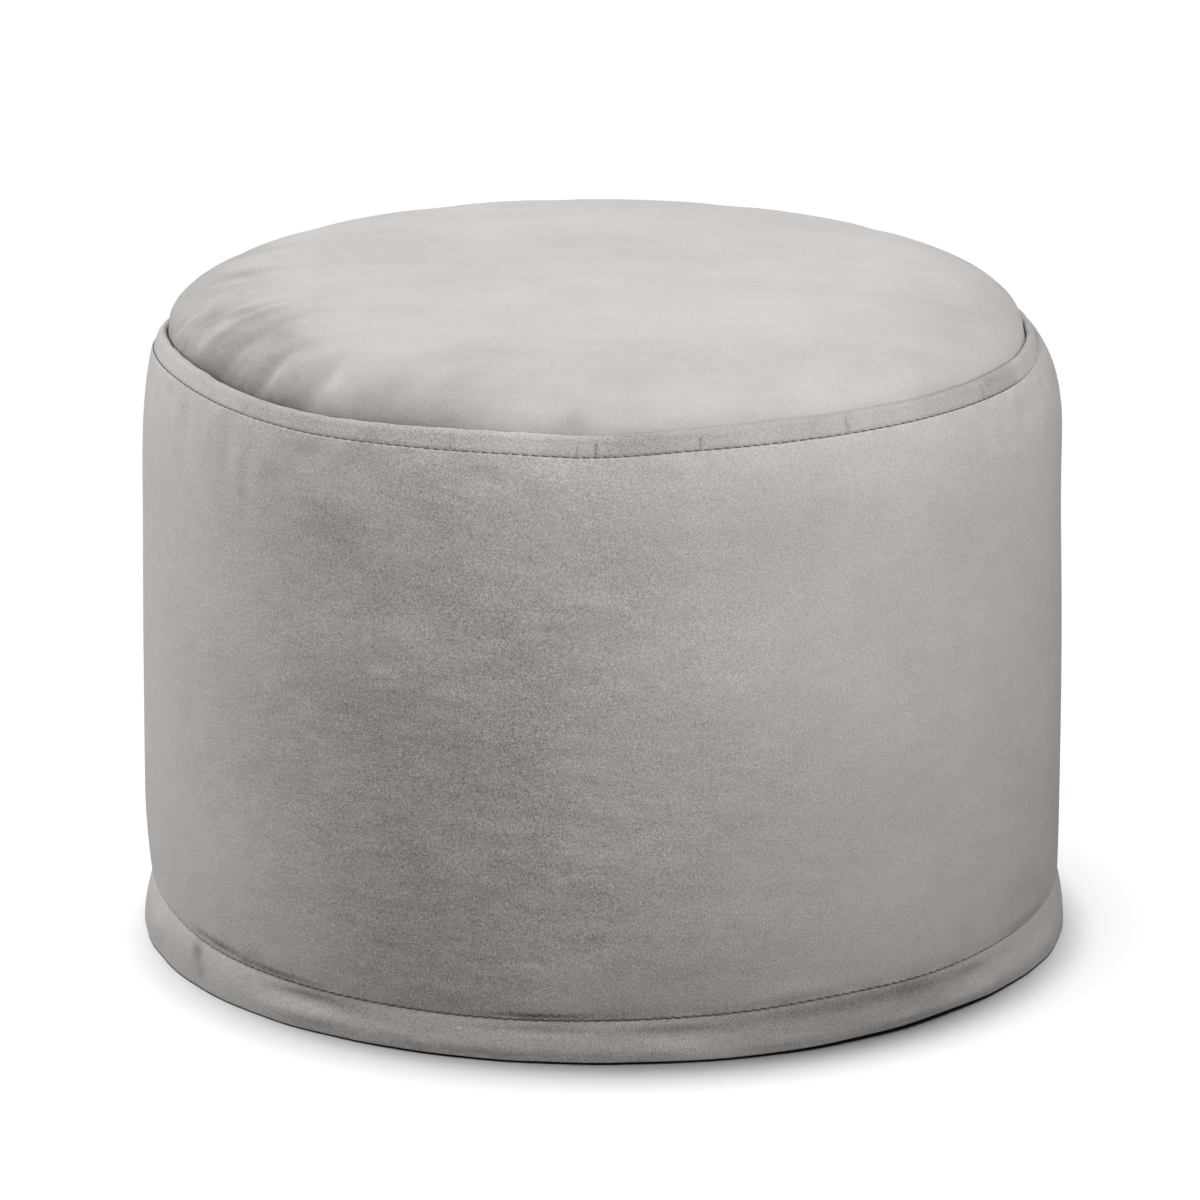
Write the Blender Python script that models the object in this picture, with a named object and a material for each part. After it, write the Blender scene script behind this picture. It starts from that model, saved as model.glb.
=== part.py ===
"""A bean bag footstool: a filled velvet drum with a crowned top and a stitched seam flange at each rim.

Units are metres, +Z is up, and the origin is on the floor under the middle of the drum.
Places round the drum are given as a bearing in degrees: 0 is the front, which faces -Y, 90 is the
right-hand side, which faces +X, and -90 is the left-hand side.

Five pieces of cloth are modelled as solids, a little apart where they touch:
top_panel, the crowned round top; side_panel, the filled side, which is drawn in at both seams;
base_panel, the filled underside; top_flange and bottom_flange, the folded seam allowances that stand
up round the top rim and hang down to the floor round the lower one.
"""

import bmesh
import bpy
import numpy as np

# --- Driving sizes -------------------------------------------------------------------------------

WALL_RADIUS = 0.2250  # the side at half its height
BELLY_SWELL = 0.0013  # how much wider the side stands near the floor, under the beads' weight
BELLY_HEIGHT = 0.2000  # the side is straight above this height and widens below it
CROWN_HEIGHT = 0.3298  # the highest point of the top
CROWN_TILT = 0.0020  # how far the crown's left half stands above the middle, and its right half below

FLANGE_THICKNESS = 0.0040  # four layers of velvet, pressed flat by the stitching
SEAM_PINCH = 0.0005  # how far the stitching pulls the flange's outer face in
GAP = 0.0003  # kept between two pieces that touch
SEAM_ROLL = 0.0009  # how far the side's cloth rolls over where it turns in to the stitching

TOP_SEAT_HEIGHT = 0.2800  # the hidden level face that carries the top panel and its flange
BASE_SEAT_HEIGHT = 0.0285  # the hidden level face that rests on the base panel and its flange
NECK_HEIGHT = 0.0460  # the side is drawn in to the lower seam over this height
FLARE_BULGE = 1.7  # how soon the lower flange swings out under its stitching: 1 is a straight flare
BASE_FLAT_RADIUS = 0.2040  # the part of the underside that lies flat on the floor
BASE_EDGE_ROUND = 0.0140  # radius of the turn between the underside and its seam

SEGMENTS = 96  # facets round the drum, the same on every piece so that their gaps stay even
WALL_ROWS = 19
WALL_CROWDING = 0.14  # how much closer the side's rows lie near the seams, where it turns fastest
CROWN_ROWS = 14
CROWN_CROWDING = 2.2  # how much closer the crown's rows lie near its rim
FOLD_FACETS = 5  # facets round the folded edge of a flange
TOP_FACE_ROWS = (0.35, 0.70)  # rows on the top flange's outer face, as shares of the way to its fold
LOWER_FACE_ROWS = (0.20, 0.45, 0.72)  # the same on both faces of the lower flange
BASE_TURN_FACETS = 3  # facets round the turn of the underside
SHARP_ANGLE = 50  # degrees; an edge that turns more than this is drawn sharp
BEARINGS = np.arange(SEGMENTS) * 360 / SEGMENTS - 180
VELVET_ROUGHNESS = 0.9
VELVET_SHEEN = 0.4


# --- Tables: one row for each section round the drum ---------------------------------------------


def table(names, *rows):
    """The rows as one named column each."""
    return dict(zip(names.split(), np.array(rows).T))


# The top rim. seam_r and seam_z place the stitching; the flange rises by rise and leans inwards by
# lean; the side bulges up beside the flange by swell and is straight again drop below its edge;
# the top panel disappears behind the flange crevice below its crest. fullness says how flat the
# crown's middle is, and shoulder how softly it turns down to the seam: lower is fuller.
TOP_RIM = table(
    "bearing seam_r  seam_z  rise    lean    swell   drop   crevice fullness shoulder",
    (-180,   0.2165, 0.2880, 0.0090, 0.0038, 0.0030, 0.064, 0.0045, 5.5,     0.60),
    (-140,   0.2164, 0.2875, 0.0082, 0.0038, 0.0020, 0.064, 0.0036, 5.0,     0.46),
    (-112,   0.2165, 0.2866, 0.0080, 0.0036, 0.0010, 0.066, 0.0026, 4.5,     0.36),
    (-98,    0.2174, 0.2883, 0.0082, 0.0034, 0.0006, 0.070, 0.0024, 4.4,     0.36),
    (-88,    0.2180, 0.2908, 0.0085, 0.0034, 0.0004, 0.078, 0.0030, 4.4,     0.36),
    (-78,    0.2176, 0.2922, 0.0086, 0.0035, 0.0004, 0.084, 0.0060, 4.6,     0.39),
    (-68,    0.2184, 0.2935, 0.0086, 0.0038, 0.0004, 0.082, 0.0085, 4.9,     0.42),
    (-50,    0.2200, 0.2920, 0.0078, 0.0042, 0.0004, 0.065, 0.0088, 5.5,     0.46),
    (-38,    0.2205, 0.2914, 0.0080, 0.0044, 0.0004, 0.058, 0.0075, 5.7,     0.51),
    (-24,    0.2195, 0.2922, 0.0088, 0.0044, 0.0004, 0.055, 0.0045, 6.0,     0.58),
    (-12,    0.2185, 0.2924, 0.0094, 0.0042, 0.0004, 0.055, 0.0030, 6.0,     0.65),
    (-1,     0.2185, 0.2917, 0.0093, 0.0042, 0.0004, 0.055, 0.0022, 6.0,     0.65),
    (11,     0.2185, 0.2938, 0.0092, 0.0042, 0.0004, 0.055, 0.0015, 6.0,     0.65),
    (25,     0.2180, 0.2944, 0.0095, 0.0042, 0.0004, 0.055, 0.0011, 6.0,     0.65),
    (45,     0.2180, 0.2942, 0.0086, 0.0042, 0.0004, 0.058, 0.0012, 6.0,     0.64),
    (60,     0.2170, 0.2936, 0.0088, 0.0040, 0.0004, 0.060, 0.0018, 5.8,     0.60),
    (75,     0.2145, 0.2914, 0.0090, 0.0042, 0.0014, 0.058, 0.0022, 5.4,     0.52),
    (90,     0.2136, 0.2893, 0.0092, 0.0048, 0.0050, 0.051, 0.0020, 5.2,     0.46),
    (108,    0.2148, 0.2880, 0.0090, 0.0045, 0.0044, 0.054, 0.0022, 5.2,     0.45),
    (140,    0.2158, 0.2878, 0.0090, 0.0037, 0.0040, 0.060, 0.0032, 5.4,     0.51),
)

# The lower rim. seam_r and seam_z place the stitching; the flange's lower edge reaches out to edge_r
# and lifts off the floor by lift.
LOWER_RIM = table(
    "bearing seam_r  seam_z  edge_r  lift",
    (-180,   0.2230, 0.0245, 0.2280, 0.0000),
    (-135,   0.2222, 0.0255, 0.2275, 0.0000),
    (-90,    0.2216, 0.0264, 0.2268, 0.0000),
    (-72,    0.2222, 0.0252, 0.2268, 0.0000),
    (-55,    0.2230, 0.0218, 0.2270, 0.0000),
    (-40,    0.2234, 0.0210, 0.2265, 0.0000),
    (-26,    0.2234, 0.0206, 0.2258, 0.0004),
    (-12,    0.2233, 0.0205, 0.2252, 0.0004),
    (2,      0.2228, 0.0212, 0.2256, 0.0006),
    (17,     0.2226, 0.0218, 0.2265, 0.0006),
    (30,     0.2220, 0.0227, 0.2270, 0.0012),
    (45,     0.2226, 0.0221, 0.2266, 0.0016),
    (60,     0.2230, 0.0229, 0.2276, 0.0006),
    (75,     0.2242, 0.0244, 0.2290, 0.0000),
    (90,     0.2248, 0.0268, 0.2290, 0.0000),
    (135,    0.2240, 0.0255, 0.2284, 0.0000),
)

# Gathers of the top panel: each is a trough (or, with a negative depth, a ridge) that starts at the
# seam on its bearing and dies out towards the crown. start and reach are shares of the radius in
# from the rim; half_width is along the rim.
GATHERS = table(
    "bearing half_width depth    start  reach",
    (-172,   0.016,     0.0008,  0.06,  0.22),
    (-151,   0.020,     0.0010,  0.05,  0.26),
    (-98,    0.010,     0.0008,  0.10,  0.20),
    (-74,    0.010,     0.0018,  0.08,  0.20),
    (-66,    0.010,    -0.0012,  0.10,  0.22),
    (-59,    0.012,     0.0016,  0.06,  0.16),
    (-50,    0.010,     0.0022,  0.06,  0.10),
    (-40,    0.011,     0.0020,  0.08,  0.12),
    (-28,    0.012,     0.0009,  0.08,  0.14),
    (-1,     0.010,     0.0010,  0.04,  0.08),
    (31,     0.012,     0.0007,  0.05,  0.10),
    (131,    0.015,     0.0006,  0.05,  0.20),
    (158,    0.018,     0.0008,  0.05,  0.26),
)

# Soft dents (or, with a negative depth, swells) of the side, where the beads have settled.
DENTS = table(
    "bearing height  half_width half_height depth",
    (-150,   0.130,  0.070,     0.060,      0.0014),
    (-108,   0.200,  0.060,     0.050,     -0.0008),
    (-90,    0.230,  0.055,     0.060,      0.0008),
    (-66,    0.235,  0.045,     0.035,      0.0008),
    (-52,    0.090,  0.060,     0.050,      0.0012),
    (-30,    0.185,  0.050,     0.020,     -0.0007),
    (-26,    0.130,  0.075,     0.045,      0.0010),
    (-14,    0.255,  0.040,     0.018,      0.0009),
    (6,      0.190,  0.060,     0.030,     -0.0006),
    (24,     0.080,  0.070,     0.045,      0.0009),
    (52,     0.230,  0.060,     0.040,      0.0008),
    (78,     0.120,  0.070,     0.060,     -0.0006),
    (90,     0.235,  0.060,     0.045,      0.0010),
    (120,    0.210,  0.080,     0.050,      0.0014),
    (165,    0.100,  0.060,     0.050,     -0.0009),
)


# --- Shapes as functions of the bearing ----------------------------------------------------------


def periodic(knots, values, bearing):
    """A smooth closed curve through the values: cubic pieces whose slopes are those of the chords
    between each knot's two neighbours."""
    knots = np.concatenate([knots[-2:] - 360, knots, knots[:3] + 360])
    values = np.concatenate([values[-2:], values, values[:3]])
    slopes = (values[2:] - values[:-2]) / (knots[2:] - knots[:-2])
    at = np.clip(np.searchsorted(knots, bearing, side="right") - 1, 1, len(knots) - 3)
    step = knots[at + 1] - knots[at]
    t = (bearing - knots[at]) / step
    return (
        values[at] * (1 + 2 * t) * (1 - t) ** 2
        + slopes[at - 1] * step * t * (1 - t) ** 2
        + values[at + 1] * t**2 * (3 - 2 * t)
        - slopes[at] * step * t**2 * (1 - t)
    )


def column(rim, name, bearing):
    return periodic(rim["bearing"], rim[name], bearing)


def turn(bearing, other):
    """The angle from one bearing to another, from -180 to 180 degrees."""
    return (bearing - other + 180) % 360 - 180


def swollen_radius(height):
    """Radius of the filled side before the seams draw it in: straight, then a little wider below."""
    return WALL_RADIUS + BELLY_SWELL * np.clip(1 - height / BELLY_HEIGHT, 0, 1)


def dented(bearing, height):
    """How far the soft dents set the side in at a place: a sum of round bell shapes."""
    total = np.zeros_like(bearing + height)
    for middle, level, wide, tall, depth in zip(*DENTS.values()):
        across = np.radians(turn(bearing, middle)) * WALL_RADIUS / wide
        up = (height - level) / tall
        total += depth * np.exp(-(across**2) - up**2)
    return total


def gathered(bearing, inward):
    """How far the gathers set the top panel down, inward being the share of the radius from the rim:
    a bell shape across each gather, times a rise and a slow fade along it."""
    total = np.zeros_like(bearing + inward)
    for middle, wide, depth, start, reach in zip(*GATHERS.values()):
        across = np.radians(turn(bearing, middle)) * WALL_RADIUS / wide
        along = np.where(inward < start, (inward - start) / start, (inward - start) / reach)
        total += depth * np.exp(-(across**2) - along**2)
    return total


def top_flange_middle(bearing, height):
    """Radius of the middle of the top flange: upright below the stitching, leaning in above it."""
    seam_r = column(TOP_RIM, "seam_r", bearing)
    seam_z = column(TOP_RIM, "seam_z", bearing)
    rise = column(TOP_RIM, "rise", bearing)
    lean = column(TOP_RIM, "lean", bearing)
    up = np.clip((height - seam_z) / rise, 0, 1)
    return seam_r - FLANGE_THICKNESS / 2 - lean * up


def lower_flange_middle(bearing, height):
    """Radius of the middle of the lower flange: upright above the stitching; below it the flange
    swings out and then hangs ever straighter down to its edge."""
    seam_r = column(LOWER_RIM, "seam_r", bearing)
    seam_z = column(LOWER_RIM, "seam_z", bearing)
    flare = column(LOWER_RIM, "edge_r", bearing) - seam_r
    fall = seam_z - column(LOWER_RIM, "lift", bearing) - FLANGE_THICKNESS / 2
    down = np.clip((seam_z - height) / fall, 0, 1)
    return seam_r - FLANGE_THICKNESS / 2 + flare * (1 - (1 - down) ** FLARE_BULGE)


# --- Sections: radius and height of each row, for every bearing ----------------------------------


def side_section(bearing):
    """Rows of the side panel from the middle of its level top, over its upper edge, down the side,
    round its lower edge to the middle of its level underside."""
    half = FLANGE_THICKNESS / 2 + GAP
    flat = np.ones_like(bearing)
    edge_z = column(TOP_RIM, "seam_z", bearing) + column(TOP_RIM, "swell", bearing)
    edge_r = top_flange_middle(bearing, edge_z) + half
    seam_z = column(TOP_RIM, "seam_z", bearing)
    seam_r = column(TOP_RIM, "seam_r", bearing) + GAP
    drop = column(TOP_RIM, "drop", bearing)
    foot_z = column(LOWER_RIM, "seam_z", bearing)
    foot_r = column(LOWER_RIM, "seam_r", bearing) + GAP
    rows = [(seam_r, TOP_SEAT_HEIGHT * flat), (seam_r, seam_z), (edge_r, edge_z)]
    edge_r = edge_r + SEAM_ROLL
    rows.append((edge_r, edge_z - SEAM_ROLL / 2))
    for step in np.linspace(0, 1, WALL_ROWS)[1:-1]:
        share = step - WALL_CROWDING * np.sin(2 * np.pi * step)
        height = edge_z + (foot_z - edge_z) * share
        below = np.clip((edge_z - height) / drop, 0, 1)
        above = np.clip((height - foot_z) / NECK_HEIGHT, 0, 1)
        full = swollen_radius(height)
        radius = full - (full - edge_r) * (1 - below) ** 3
        radius -= (full - foot_r - SEAM_ROLL) * (1 - above) ** 2
        rows.append((radius - dented(bearing, height), height))
    rows.append((foot_r + SEAM_ROLL, foot_z + SEAM_ROLL / 2))
    rows += [(foot_r, foot_z), (foot_r - GAP / 2, BASE_SEAT_HEIGHT * flat)]
    return rows


def crown_section(bearing):
    """Rows of the top panel from its level underside, up beside the flange, in across the bottom of
    the crevice and over the crown."""
    flat = np.ones_like(bearing)
    half = FLANGE_THICKNESS / 2 + GAP
    low = (TOP_SEAT_HEIGHT + GAP) * flat
    crest = column(TOP_RIM, "seam_z", bearing) + column(TOP_RIM, "rise", bearing)
    edge_z = crest - column(TOP_RIM, "crevice", bearing)
    rim_r = top_flange_middle(bearing, crest) - half
    fullness = column(TOP_RIM, "fullness", bearing)
    shoulder = column(TOP_RIM, "shoulder", bearing)
    rows = [(top_flange_middle(bearing, low) - half, low)]
    rows += [(top_flange_middle(bearing, edge_z) - half, edge_z), (rim_r, edge_z)]
    for step in np.linspace(0, 1, CROWN_ROWS + 1)[1:]:
        inward = step**CROWN_CROWDING
        share = 1 - inward
        crown = CROWN_HEIGHT - CROWN_TILT * share * np.sin(np.radians(bearing))
        rise = (1 - share**fullness) ** shoulder
        height = edge_z + (crown - edge_z) * rise - gathered(bearing, inward * flat)
        rows.append((rim_r * share, height))
    return rows


def fold(middle_r, middle_z, way):
    """Rows over a flange's folded edge, from its outer face to its inner one: half a circle about
    the middle, above it where way is 1 and below it where way is -1."""
    half = FLANGE_THICKNESS / 2
    angles = np.linspace(0, np.pi, FOLD_FACETS + 1)
    return [(middle_r + half * np.cos(a), middle_z + way * half * np.sin(a)) for a in angles]


def top_flange_section(bearing):
    """Rows round the top flange's cut: up its outer face, over the fold, down its inner face."""
    half = FLANGE_THICKNESS / 2
    seam_z = column(TOP_RIM, "seam_z", bearing)
    rise = column(TOP_RIM, "rise", bearing)
    low = (TOP_SEAT_HEIGHT + GAP) * np.ones_like(bearing)
    fold_z = seam_z + rise - half
    fold_r = top_flange_middle(bearing, fold_z)
    rows = [(top_flange_middle(bearing, low) + half, low)]
    rows.append((top_flange_middle(bearing, seam_z) + half - SEAM_PINCH, seam_z))
    for share in TOP_FACE_ROWS:
        height = seam_z + (fold_z - seam_z) * share
        rows.append((top_flange_middle(bearing, height) + half, height))
    rows += fold(fold_r, fold_z, 1)
    rows.append((top_flange_middle(bearing, seam_z) - half, seam_z))
    rows.append((top_flange_middle(bearing, low) - half, low))
    return rows


def lower_flange_section(bearing):
    """Rows round the lower flange's cut: down its outer face, under the fold, up its inner face."""
    half = FLANGE_THICKNESS / 2
    seam_z = column(LOWER_RIM, "seam_z", bearing)
    high = (BASE_SEAT_HEIGHT - GAP) * np.ones_like(bearing)
    fold_z = column(LOWER_RIM, "lift", bearing) + half
    fold_r = lower_flange_middle(bearing, fold_z)
    rows = [(lower_flange_middle(bearing, high) + half - GAP, high)]
    rows.append((lower_flange_middle(bearing, seam_z) + half - SEAM_PINCH, seam_z))
    for share in LOWER_FACE_ROWS:
        height = seam_z + (fold_z - seam_z) * share
        rows.append((lower_flange_middle(bearing, height) + half, height))
    rows += fold(fold_r, fold_z, -1)
    for share in reversed(LOWER_FACE_ROWS):
        height = seam_z + (fold_z - seam_z) * share
        rows.append((lower_flange_middle(bearing, height) - half, height))
    rows.append((lower_flange_middle(bearing, high) - half, high))
    return rows


def base_section(bearing):
    """Rows of the base panel from its level top, down inside the flange, round to the floor."""
    flat = np.ones_like(bearing)
    high = BASE_SEAT_HEIGHT - GAP
    inside = FLANGE_THICKNESS / 2 + GAP
    rim_r = lower_flange_middle(bearing, high * flat) - inside
    rows = [(rim_r, high * flat)]
    for angle in np.linspace(0, np.pi / 2, BASE_TURN_FACETS + 1):
        radius = BASE_FLAT_RADIUS + (rim_r - BASE_FLAT_RADIUS) * np.cos(angle)
        rows.append((radius, BASE_EDGE_ROUND * (1 - np.sin(angle)) * flat))
    return rows


# --- Blender objects -----------------------------------------------------------------------------


def velvet(name, colour):
    """A matt velvet finish of a linear colour."""
    material = bpy.data.materials.new(name)
    material.use_nodes = True
    shader = material.node_tree.nodes["Principled BSDF"]
    shader.inputs["Base Color"].default_value = (*colour, 1.0)
    shader.inputs["Roughness"].default_value = VELVET_ROUGHNESS
    shader.inputs["Metallic"].default_value = 0.0
    shader.inputs["Sheen Weight"].default_value = VELVET_SHEEN
    material.diffuse_color = (*colour, 1.0)
    return material


def ring_loops(mesh, rows):
    """One closed loop of vertices for each row of a section."""
    angle = np.radians(BEARINGS)
    loops = []
    for radius, height in rows:
        places = np.stack([radius * np.sin(angle), -radius * np.cos(angle), height], axis=1)
        loops.append([mesh.verts.new(place) for place in places])
    return loops


def bridge(mesh, lower, upper):
    """Four-sided faces between two loops of the same length."""
    count = len(lower)
    for i in range(count):
        j = (i + 1) % count
        mesh.faces.new((lower[i], lower[j], upper[j], upper[i]))


def piece(name, rows, material, ends):
    """An object from the rows of a section. ends is "flat" for a filled piece whose first and last
    rows close in level faces, "crown" where the last row is the single point at the top of a crown,
    and "ring" where the last row meets the first, as on a flange."""
    mesh = bmesh.new()
    if ends == "crown":
        top = mesh.verts.new((0, 0, rows[-1][1].mean()))
        rows = rows[:-1]
    loops = ring_loops(mesh, rows)
    for lower, upper in zip(loops, loops[1:]):
        bridge(mesh, lower, upper)
    if ends == "ring":
        bridge(mesh, loops[-1], loops[0])
    else:
        mesh.faces.new(loops[0])
    if ends == "flat":
        mesh.faces.new(loops[-1])
    if ends == "crown":
        last = loops[-1]
        for i in range(SEGMENTS):
            mesh.faces.new((last[i], last[(i + 1) % SEGMENTS], top))
    bmesh.ops.recalc_face_normals(mesh, faces=mesh.faces)
    data = bpy.data.meshes.new(name)
    mesh.to_mesh(data)
    mesh.free()
    data.shade_smooth()
    data.set_sharp_from_angle(angle=np.radians(SHARP_ANGLE))
    data.materials.append(material)
    thing = bpy.data.objects.new(name, data)
    bpy.context.scene.collection.objects.link(thing)
    return thing


def build():
    for thing in list(bpy.data.objects):
        bpy.data.objects.remove(thing)
    top_velvet = velvet("top_velvet", (0.60, 0.57, 0.54))
    side_velvet = velvet("side_velvet", (0.42, 0.39, 0.37))
    base_velvet = velvet("base_velvet", (0.36, 0.34, 0.32))
    top_flange_velvet = velvet("top_flange_velvet", (0.48, 0.45, 0.43))
    bottom_flange_velvet = velvet("bottom_flange_velvet", (0.38, 0.36, 0.34))
    piece("side_panel", side_section(BEARINGS), side_velvet, "flat")
    piece("top_panel", crown_section(BEARINGS), top_velvet, "crown")
    piece("base_panel", base_section(BEARINGS), base_velvet, "flat")
    piece("top_flange", top_flange_section(BEARINGS), top_flange_velvet, "ring")
    piece("bottom_flange", lower_flange_section(BEARINGS), bottom_flange_velvet, "ring")


build()
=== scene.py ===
# %% [markdown]
# # A velvet bean bag footstool
#
# A footstool of this kind is a drum of velvet filled with beads. It is sewn from a round top, a side
# strip and a round base. At both rims the seam allowances are folded together, turned up (or down) and
# stitched through, so each rim carries a flat band of its own, the flange.
#
# The frame holds these five pieces as plain solids. Here each one is made again as a fine surface, with
# its puckers, tucks and thread, and gets its velvet. Everything is in metres, with +Z up.

import bpy
import numpy as np
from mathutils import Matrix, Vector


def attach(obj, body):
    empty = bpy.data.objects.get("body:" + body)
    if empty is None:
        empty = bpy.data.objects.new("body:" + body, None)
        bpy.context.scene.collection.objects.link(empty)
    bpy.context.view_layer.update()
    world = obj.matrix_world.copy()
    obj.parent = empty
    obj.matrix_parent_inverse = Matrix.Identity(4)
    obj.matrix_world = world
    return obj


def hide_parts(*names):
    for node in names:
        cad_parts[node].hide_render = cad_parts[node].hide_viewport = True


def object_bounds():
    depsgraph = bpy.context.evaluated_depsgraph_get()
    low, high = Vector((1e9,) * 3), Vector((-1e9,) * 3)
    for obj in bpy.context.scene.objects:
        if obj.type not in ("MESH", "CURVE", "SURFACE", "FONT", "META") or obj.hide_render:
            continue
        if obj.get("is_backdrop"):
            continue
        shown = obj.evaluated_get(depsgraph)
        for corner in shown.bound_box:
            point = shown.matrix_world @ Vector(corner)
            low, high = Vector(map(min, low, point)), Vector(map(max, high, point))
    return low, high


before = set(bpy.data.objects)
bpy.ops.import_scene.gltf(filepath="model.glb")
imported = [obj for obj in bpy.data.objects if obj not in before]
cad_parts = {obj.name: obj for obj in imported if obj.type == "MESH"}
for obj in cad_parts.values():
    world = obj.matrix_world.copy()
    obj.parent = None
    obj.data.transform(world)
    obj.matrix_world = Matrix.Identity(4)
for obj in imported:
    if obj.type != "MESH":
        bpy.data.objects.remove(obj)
cad_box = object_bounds()
print("solids in the frame:", sorted(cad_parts))

# %% [markdown]
# ## The camera
#
# The reference picture is a studio shot with a long lens: the drum's sides run almost straight, and its
# rims are open by about 16 degrees. A camera that far away needs a long focal length, so that the
# picture isn't cropped afterwards.

# %% Camera
def placed(name, data):
    """A new object in the scene."""
    piece = bpy.data.objects.new(name, data)
    bpy.context.scene.collection.objects.link(piece)
    return piece


CAMERA_PLACE = (-0.001, -3.400, 1.1642)
CAMERA_DIP = np.radians(16.455)  # how far the camera looks down
FOCAL_LENGTH = 216.4  # millimetres, on a sensor 36 mm wide
SENSOR_WIDTH = 36.0

lens = bpy.data.cameras.new("camera")
lens.sensor_width = SENSOR_WIDTH
lens.lens = FOCAL_LENGTH
lens.clip_end = 100.0
camera = placed("camera", lens)
camera.location = CAMERA_PLACE
camera.rotation_euler = (np.pi / 2 - CAMERA_DIP, 0.0, 0.0)
bpy.context.scene.camera = camera
print("camera stands", round(float(np.hypot(*CAMERA_PLACE[1:])), 2), "m away")

# %% [markdown]
# ## Sizes
#
# These are the sizes that the solids were made from. Only the crevice behind the upper flange is up to
# 2 mm shallower here, at the far left and far right, where its shadow came out too hard. The drum isn't
# a perfect figure of revolution: its beads have settled, so each rim rises, dips and draws in as it goes
# round. Places round it are bearings in degrees: 0 is the front, 90 the right-hand side and -90 the
# left-hand side. A table with a row for every few bearings holds what changes, and a smooth closed curve
# runs through its rows. The tables give lengths in millimetres, as a tape measure does, and keep them in
# metres.

# %% Driving sizes and rim tables
WALL_RADIUS = 0.2250
BELLY_SWELL = 0.0013
BELLY_HEIGHT = 0.2000
CROWN_HEIGHT = 0.3298
CROWN_TILT = 0.0020
FLANGE_THICKNESS = 0.0040
HALF = FLANGE_THICKNESS / 2
GAP = 0.0003  # kept between pieces that touch
TOP_SEAT = 0.2800  # the hidden level face under the top panel
BASE_SEAT = 0.0285  # the hidden level face on the base panel
NECK_HEIGHT = 0.0460
BASE_FLAT_RADIUS = 0.2040
BASE_EDGE_ROUND = 0.0140
FLARE_BULGE = 1.7  # 1 is a straight skirt, and more swings out sooner
MM = 0.001
PLAIN_COLUMNS = ["bearing", "fullness", "shoulder", "reach", "dark"]  # all others are lengths


def table(names, *rows):
    """The rows as one named column each, its lengths turned from millimetres into metres."""
    columns = dict(zip(names.split(), np.array(rows, dtype=float).T))
    return {name: data if name in PLAIN_COLUMNS else data * MM for name, data in columns.items()}


TOP_RIM = table(
    "bearing seam_r seam_z rise lean swell drop crevice fullness shoulder",
    (-180,   216.5, 288.0, 9.0, 3.8,  3.0,  64,    4.5,     5.5,     0.60),
    (-140,   216.4, 287.5, 8.2, 3.8,  2.0,  64,    3.6,     5.0,     0.46),
    (-112,   216.5, 286.6, 8.0, 3.6,  1.0,  66,    2.6,     4.5,     0.36),
    (-98,    217.4, 288.3, 8.2, 3.4,  0.6,  70,    0.8,     4.4,     0.36),
    (-88,    218.0, 290.8, 8.5, 3.4,  0.4,  78,    1.0,     4.4,     0.36),
    (-78,    217.6, 292.2, 8.6, 3.5,  0.4,  84,    4.5,     4.6,     0.39),
    (-68,    218.4, 293.5, 8.6, 3.8,  0.4,  82,    8.5,     4.9,     0.42),
    (-50,    220.0, 292.0, 7.8, 4.2,  0.4,  65,    8.8,     5.5,     0.46),
    (-38,    220.5, 291.4, 8.0, 4.4,  0.4,  58,    7.5,     5.7,     0.51),
    (-24,    219.5, 292.2, 8.8, 4.4,  0.4,  55,    4.5,     6.0,     0.58),
    (-12,    218.5, 292.4, 9.4, 4.2,  0.4,  55,    3.0,     6.0,     0.65),
    (-1,     218.5, 291.7, 9.3, 4.2,  0.4,  55,    2.2,     6.0,     0.65),
    (11,     218.5, 293.8, 9.2, 4.2,  0.4,  55,    1.5,     6.0,     0.65),
    (25,     218.0, 294.4, 9.5, 4.2,  0.4,  55,    1.1,     6.0,     0.65),
    (45,     218.0, 294.2, 8.6, 4.2,  0.4,  58,    1.2,     6.0,     0.64),
    (60,     217.0, 293.6, 8.8, 4.0,  0.4,  60,    1.2,     5.8,     0.60),
    (75,     214.5, 291.4, 9.0, 4.2,  1.4,  58,    0.6,     5.4,     0.52),
    (90,     213.6, 289.3, 9.2, 4.8,  5.0,  51,    0.3,     5.2,     0.46),
    (108,    214.8, 288.0, 9.0, 4.5,  4.4,  54,    0.6,     5.2,     0.45),
    (140,    215.8, 287.8, 9.0, 3.7,  4.0,  60,    3.2,     5.4,     0.51),
)

LOWER_RIM = table(
    "bearing seam_r seam_z edge_r lift",
    (-180,   223.0,  24.5, 228.0,  0.0),
    (-135,   222.2,  25.5, 227.5,  0.0),
    (-90,    221.6,  26.4, 226.8,  0.0),
    (-72,    222.2,  25.2, 226.8,  0.0),
    (-55,    223.0,  21.8, 227.0,  0.0),
    (-40,    223.4,  21.0, 226.5,  0.0),
    (-26,    223.4,  20.6, 225.8,  0.4),
    (-12,    223.3,  20.5, 225.2,  0.4),
    (2,      222.8,  21.2, 225.6,  0.6),
    (17,     222.6,  21.8, 226.5,  0.6),
    (30,     222.0,  22.7, 227.0,  1.2),
    (45,     222.6,  22.1, 226.6,  1.6),
    (60,     223.0,  22.9, 227.6,  0.6),
    (75,     224.2,  24.4, 229.0,  0.0),
    (90,     224.8,  26.8, 229.0,  0.0),
    (135,    224.0,  25.5, 228.4,  0.0),
)


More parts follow.
